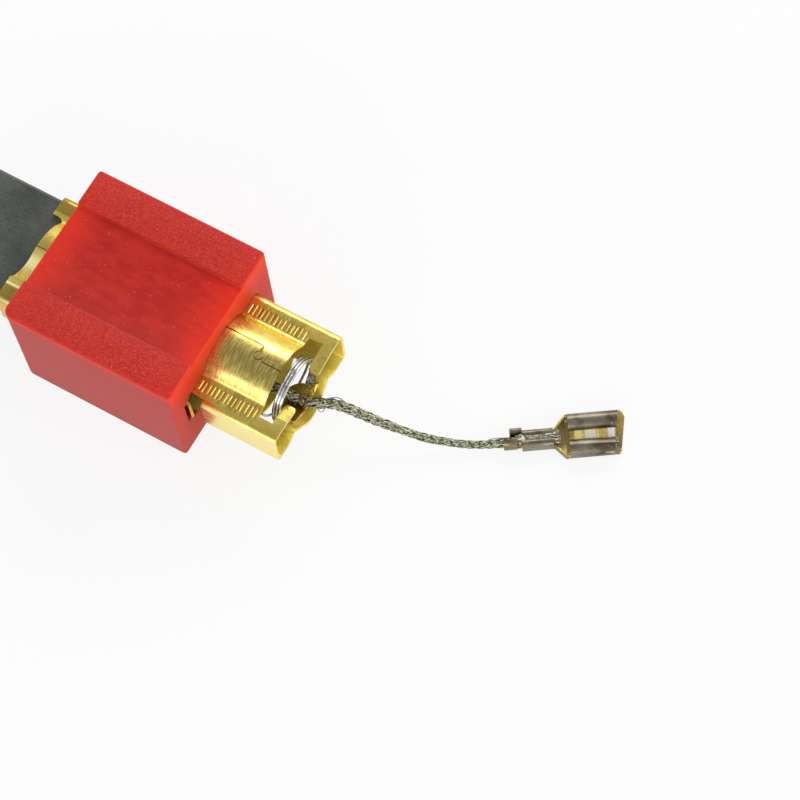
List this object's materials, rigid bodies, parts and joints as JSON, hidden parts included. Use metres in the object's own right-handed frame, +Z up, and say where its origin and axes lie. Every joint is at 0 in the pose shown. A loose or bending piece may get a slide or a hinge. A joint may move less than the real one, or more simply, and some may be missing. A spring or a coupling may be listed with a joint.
{
  "type": "carbon brush with holder",
  "caption": "Sprung carbon brush in a folded brass holder tube, held by a moulded insulating block, with a braided lead and a crimped push-on receptacle.",
  "frame": {"origin": "centre of the moulded block's underside", "axes": "+X along the brush, from the carbon's contact end towards the lead; +Y across the brush; +Z up, from the block's plain underside to its grooved top"},
  "size_m": [0.094, 0.0305, 0.0167],
  "materials": {
    "moulded_red": "satin",
    "sheet_brass": "satin",
    "pressed_carbon": "matte",
    "tamped_copper": "matte",
    "spring_steel": "gloss",
    "tinned_braid": "satin",
    "terminal_brass": "satin"
  },
  "bodies": {
    "holder": {"insulator_block": "moulded_red", "brush_tube": "sheet_brass", "spring": "spring_steel", "lead_inner": "tinned_braid", "lead_weld": "tinned_braid", "lead_outer": "tinned_braid", "receptacle_terminal": "terminal_brass"},
    "carbon": {"carbon_block": "pressed_carbon", "contact_plug": "tamped_copper"}
  },
  "joints": [
    {"name": "carbon_slide", "type": "slide", "parent": "holder", "child": "carbon", "axis": [1, 0, 0], "range_m": [0, 0.013], "stiffness_N_per_m": 150, "springref_m": -0.012, "deforming": ["spring", "lead_inner"]}
  ]
}
